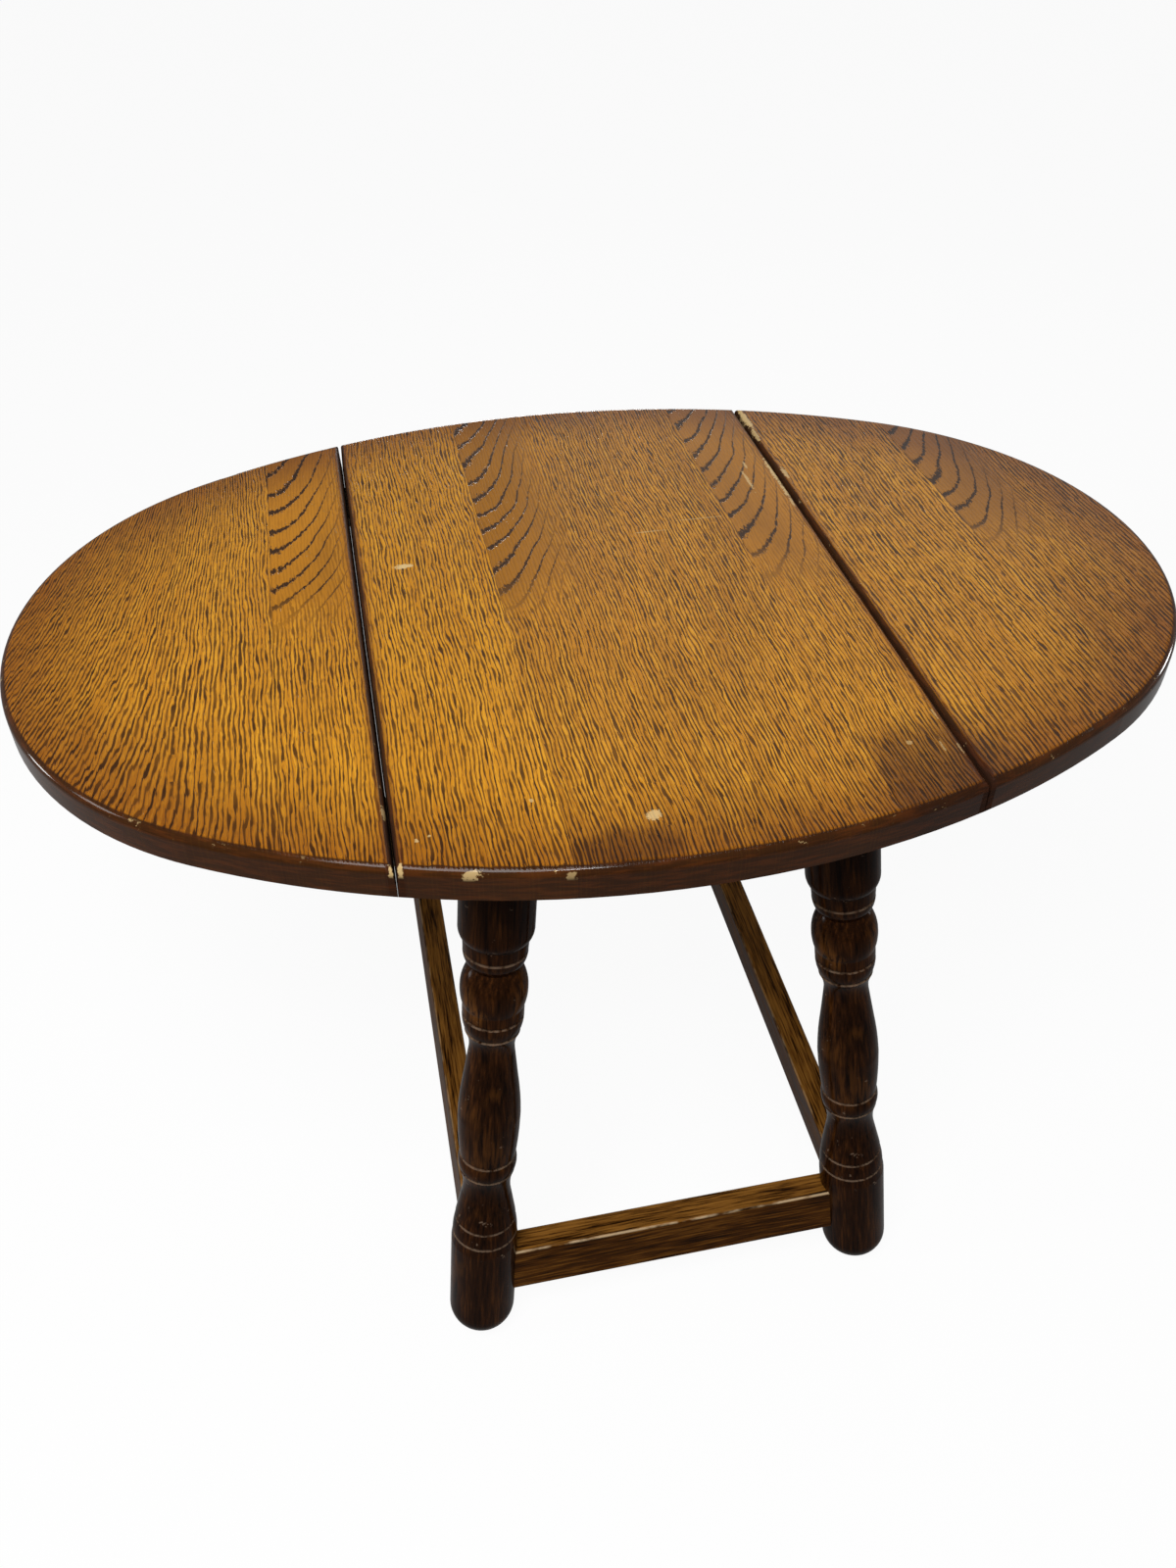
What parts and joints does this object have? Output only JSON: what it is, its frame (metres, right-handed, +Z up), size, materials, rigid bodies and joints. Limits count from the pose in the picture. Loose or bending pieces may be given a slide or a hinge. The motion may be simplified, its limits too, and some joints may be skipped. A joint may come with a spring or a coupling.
{
  "type": "drop-leaf table",
  "caption": "Low oval drop-leaf table in lacquered oak, with hinged end leaves, swinging wing brackets and splayed turned legs joined by low stretchers.",
  "frame": {"origin": "Middle of the bounding box, on the floor.", "axes": "+X runs across the two hinge lines towards the right leaf, +Y to the back, +Z up."},
  "size_m": [0.7618, 0.5428, 0.45],
  "materials": {
    "top_wood": "glossy amber lacquer",
    "leg_wood": "semi-gloss dark stain",
    "stretcher_wood": "satin brown stain",
    "rail_wood": "plain matt wood",
    "steel": "plain",
    "brass": "dull"
  },
  "bodies": {
    "frame": {"centre_board": "top_wood", "leg_front_left": "leg_wood", "leg_front_right": "leg_wood", "leg_back_left": "leg_wood", "leg_back_right": "leg_wood", "rail_front": "rail_wood", "stretcher_front": "stretcher_wood", "cleat_front": "rail_wood", "rail_back": "rail_wood", "stretcher_back": "stretcher_wood", "cleat_back": "rail_wood", "rail_left": "rail_wood", "stretcher_left": "stretcher_wood", "cleat_left": "rail_wood", "rail_right": "rail_wood", "stretcher_right": "stretcher_wood", "cleat_right": "rail_wood", "cleat_screws": "steel", "wing_block_screws": "steel", "wing_block_left": "rail_wood", "wing_pins_left": "steel", "hinge_board_plates_left": "brass", "hinge_pins_left": "steel", "hinge_board_screws_left": "steel", "wing_block_right": "rail_wood", "wing_pins_right": "steel", "hinge_board_plates_right": "brass", "hinge_pins_right": "steel", "hinge_board_screws_right": "steel"},
    "leaf_left": {"leaf_left": "top_wood", "hinge_leaf_plates_left": "brass", "hinge_leaf_screws_left": "steel"},
    "wing_left": {"wing_left": "rail_wood"},
    "leaf_right": {"leaf_right": "top_wood", "hinge_leaf_plates_right": "brass", "hinge_leaf_screws_right": "steel"},
    "wing_right": {"wing_right": "rail_wood"}
  },
  "joints": [
    {"name": "leaf_left_drop", "type": "hinge", "parent": "frame", "child": "leaf_left", "pos_m": [-0.161, 0, 0.4245], "axis": [0, -1, 0], "range_deg": [0, 90]},
    {"name": "leaf_right_drop", "type": "hinge", "parent": "frame", "child": "leaf_right", "pos_m": [0.161, 0, 0.4245], "axis": [0, 1, 0], "range_deg": [0, 90]},
    {"name": "wing_left_swing", "type": "hinge", "parent": "frame", "child": "wing_left", "pos_m": [-0.12339, 0, 0.408], "axis": [0, 0, 1], "range_deg": [0, 180]},
    {"name": "wing_right_swing", "type": "hinge", "parent": "frame", "child": "wing_right", "pos_m": [0.12339, 0, 0.408], "axis": [0, 0, -1], "range_deg": [0, 180]}
  ]
}
